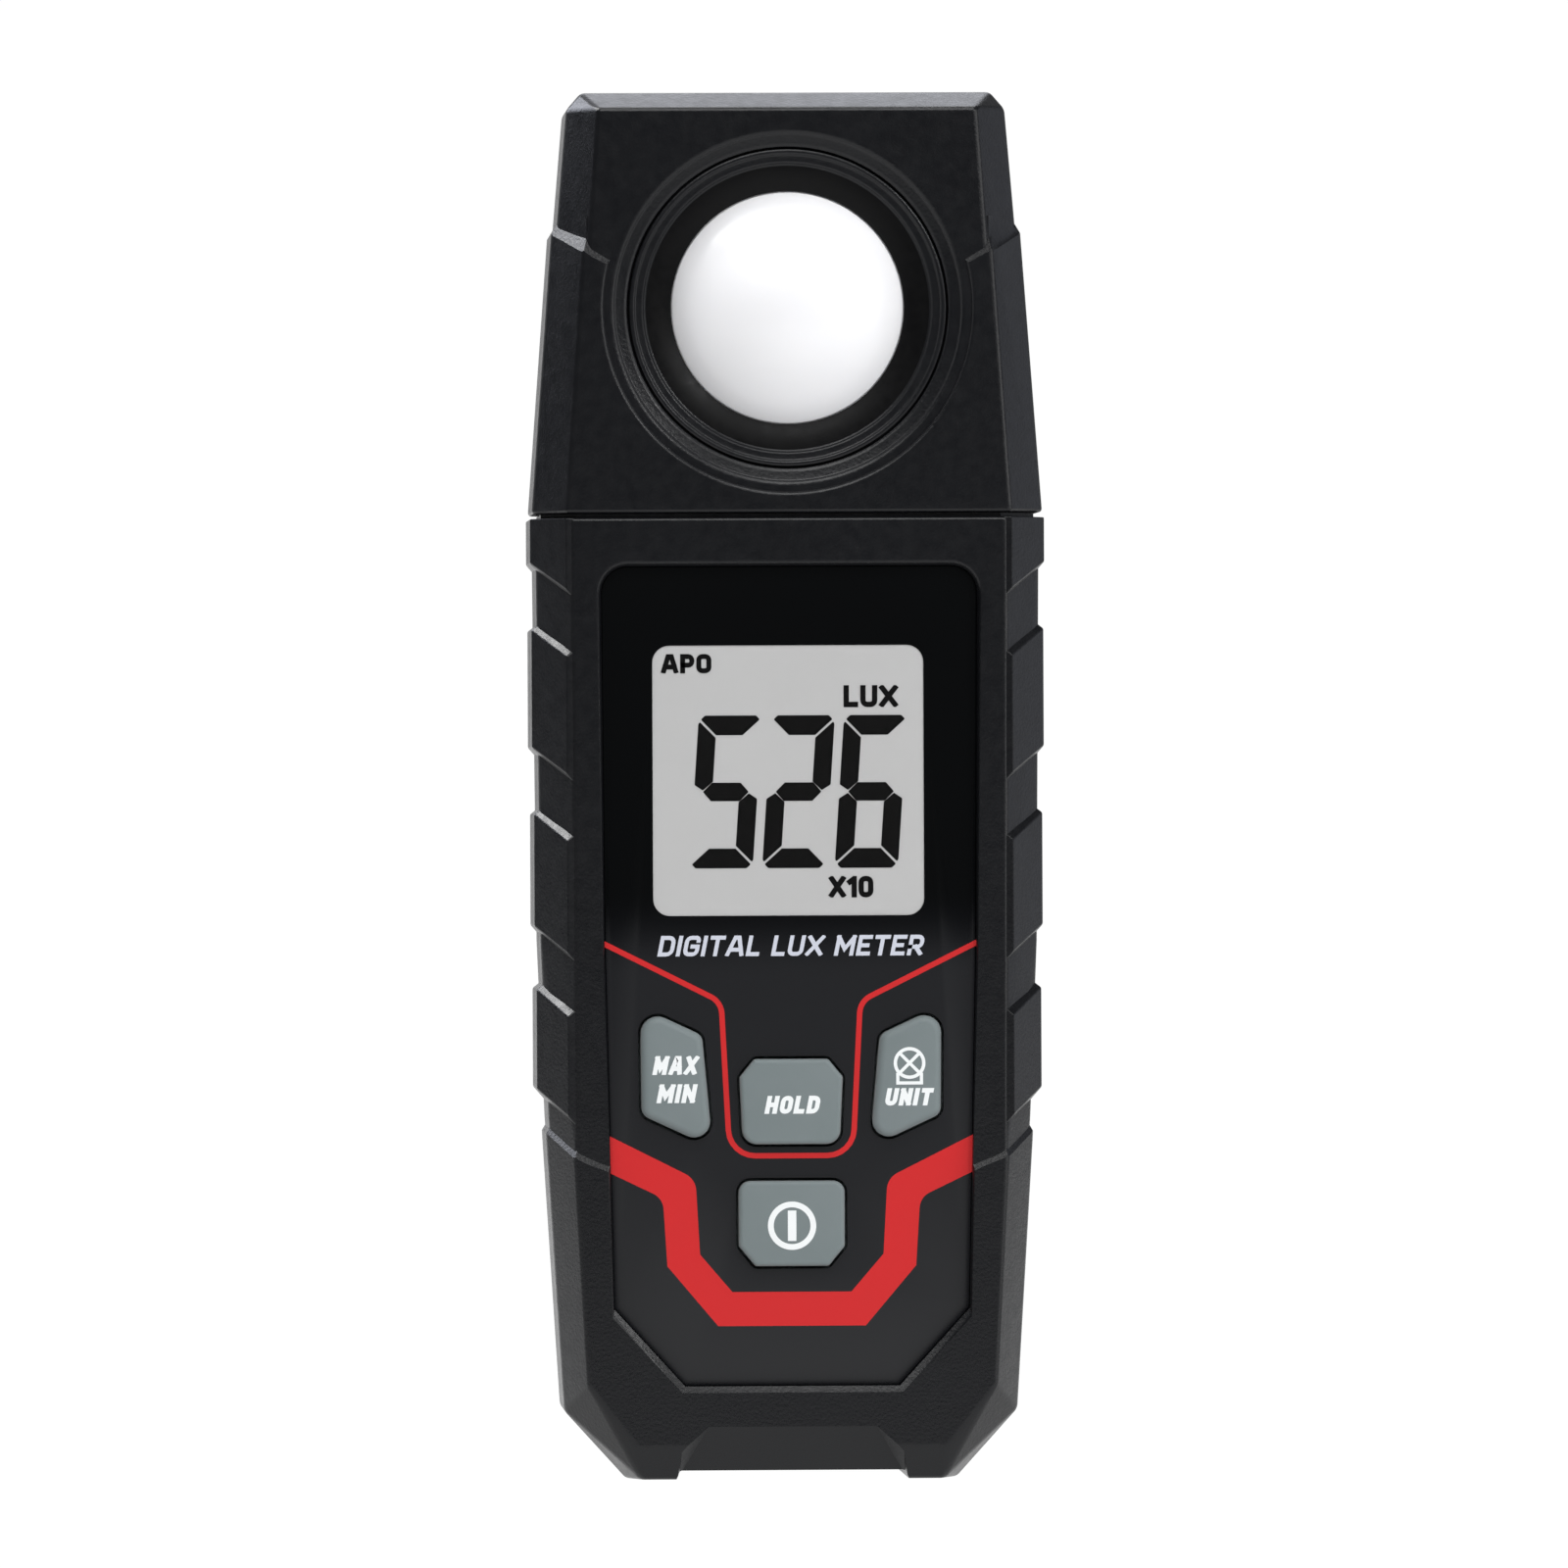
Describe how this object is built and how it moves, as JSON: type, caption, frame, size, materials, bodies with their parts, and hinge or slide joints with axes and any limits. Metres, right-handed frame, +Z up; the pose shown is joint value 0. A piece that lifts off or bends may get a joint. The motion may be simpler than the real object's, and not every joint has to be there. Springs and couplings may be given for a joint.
{
  "type": "handheld light meter",
  "caption": "Handheld digital light meter with an opal dome on a turning sensor head, a display, silicone keys and a battery compartment.",
  "frame": {"origin": "centre of the footprint, on the surface that the two feet stand on", "axes": "+Z up the meter towards the sensor head, -Y out of the display and dome, X across the meter"},
  "size_m": [0.0576, 0.035, 0.155],
  "materials": {
    "case_abs": "black ABS, finely textured in the mould",
    "overlay_film": "printed polycarbonate film, black with a red band and white legends, glossy over the display",
    "grey_silicone": "grey silicone rubber, satin",
    "opal_acrylic": "opal white acrylic, polished",
    "display_glass": "reflective liquid crystal display",
    "filter_glass": "green colour-correcting glass",
    "white_nylon": "natural white nylon",
    "circuit_board": "green solder mask on glass fibre board",
    "black_epoxy": "black moulding compound",
    "black_rubber": "black rubber or vinyl",
    "red_wire": "red vinyl insulation",
    "nickel": "nickel plated spring steel",
    "brass": "turned brass",
    "black_screw": "black zinc plated steel",
    "cell_wrap": "plastic sleeve on a steel can"
  },
  "bodies": {
    "meter_body": {"front_case": "case_abs", "back_case": "case_abs", "front_panel": "case_abs", "panel_overlay": "overlay_film", "lcd_glass": "display_glass", "lcd_holder": "white_nylon", "backlight_panel": "white_nylon", "zebra_strip": "black_rubber", "main_pcb": "circuit_board", "meter_chip": "black_epoxy", "crystal_can": "nickel", "keypad_mat": "grey_silicone", "tripod_insert": "brass", "swivel_bush": "white_nylon", "friction_ring": "black_rubber", "battery_1": "cell_wrap", "battery_2": "cell_wrap", "battery_3": "cell_wrap", "battery_spring_1": "nickel", "battery_spring_2": "nickel", "battery_spring_3": "nickel", "contact_plate_positive": "nickel", "contact_bridge_top": "nickel", "contact_bridge_bottom": "nickel", "contact_plate_negative": "nickel", "battery_lead_positive": "red_wire", "battery_lead_negative": "black_rubber", "case_screw_1": "black_screw", "case_screw_2": "black_screw", "case_screw_3": "black_screw", "case_screw_4": "black_screw", "sensor_lead_body": "black_rubber"},
    "sensor_head": {"head_front_case": "case_abs", "head_back_case": "case_abs", "swivel_neck": "white_nylon", "dome_collar": "case_abs", "dome_diffuser": "opal_acrylic", "filter_glass": "filter_glass", "filter_holder": "case_abs", "photodiode": "black_epoxy", "sensor_pcb": "circuit_board", "head_screw_1": "black_screw", "head_screw_2": "black_screw", "head_screw_3": "black_screw", "head_screw_4": "black_screw", "sensor_lead_head": "black_rubber"},
    "max_min_key": {"button_max_min": "grey_silicone", "carbon_pill_max_min": "black_rubber"},
    "hold_key": {"button_hold": "grey_silicone", "carbon_pill_hold": "black_rubber"},
    "unit_key": {"button_unit": "grey_silicone", "carbon_pill_unit": "black_rubber"},
    "power_key": {"button_power": "grey_silicone", "carbon_pill_power": "black_rubber"},
    "battery_cover": {"battery_door": "case_abs", "battery_door_screw": "black_screw"}
  },
  "joints": [
    {"name": "head_swivel", "type": "hinge", "parent": "meter_body", "child": "sensor_head", "pos_m": [0, 0.0025, 0.1077], "axis": [0, 0, 1], "range_deg": [-90, 180]},
    {"name": "max_min_press", "type": "slide", "parent": "meter_body", "child": "max_min_key", "axis": [0, 1, 0], "range_m": [0, 0.0008], "stiffness_N_per_m": 800, "springref_m": -0.0005},
    {"name": "hold_press", "type": "slide", "parent": "meter_body", "child": "hold_key", "axis": [0, 1, 0], "range_m": [0, 0.0008], "stiffness_N_per_m": 800, "springref_m": -0.0005},
    {"name": "unit_press", "type": "slide", "parent": "meter_body", "child": "unit_key", "axis": [0, 1, 0], "range_m": [0, 0.0008], "stiffness_N_per_m": 800, "springref_m": -0.0005},
    {"name": "power_press", "type": "slide", "parent": "meter_body", "child": "power_key", "axis": [0, 1, 0], "range_m": [0, 0.0008], "stiffness_N_per_m": 800, "springref_m": -0.0005},
    {"name": "cover_lift_off", "type": "slide", "parent": "meter_body", "child": "battery_cover", "axis": [0, 1, 0], "range_m": [0, 0.025]}
  ]
}
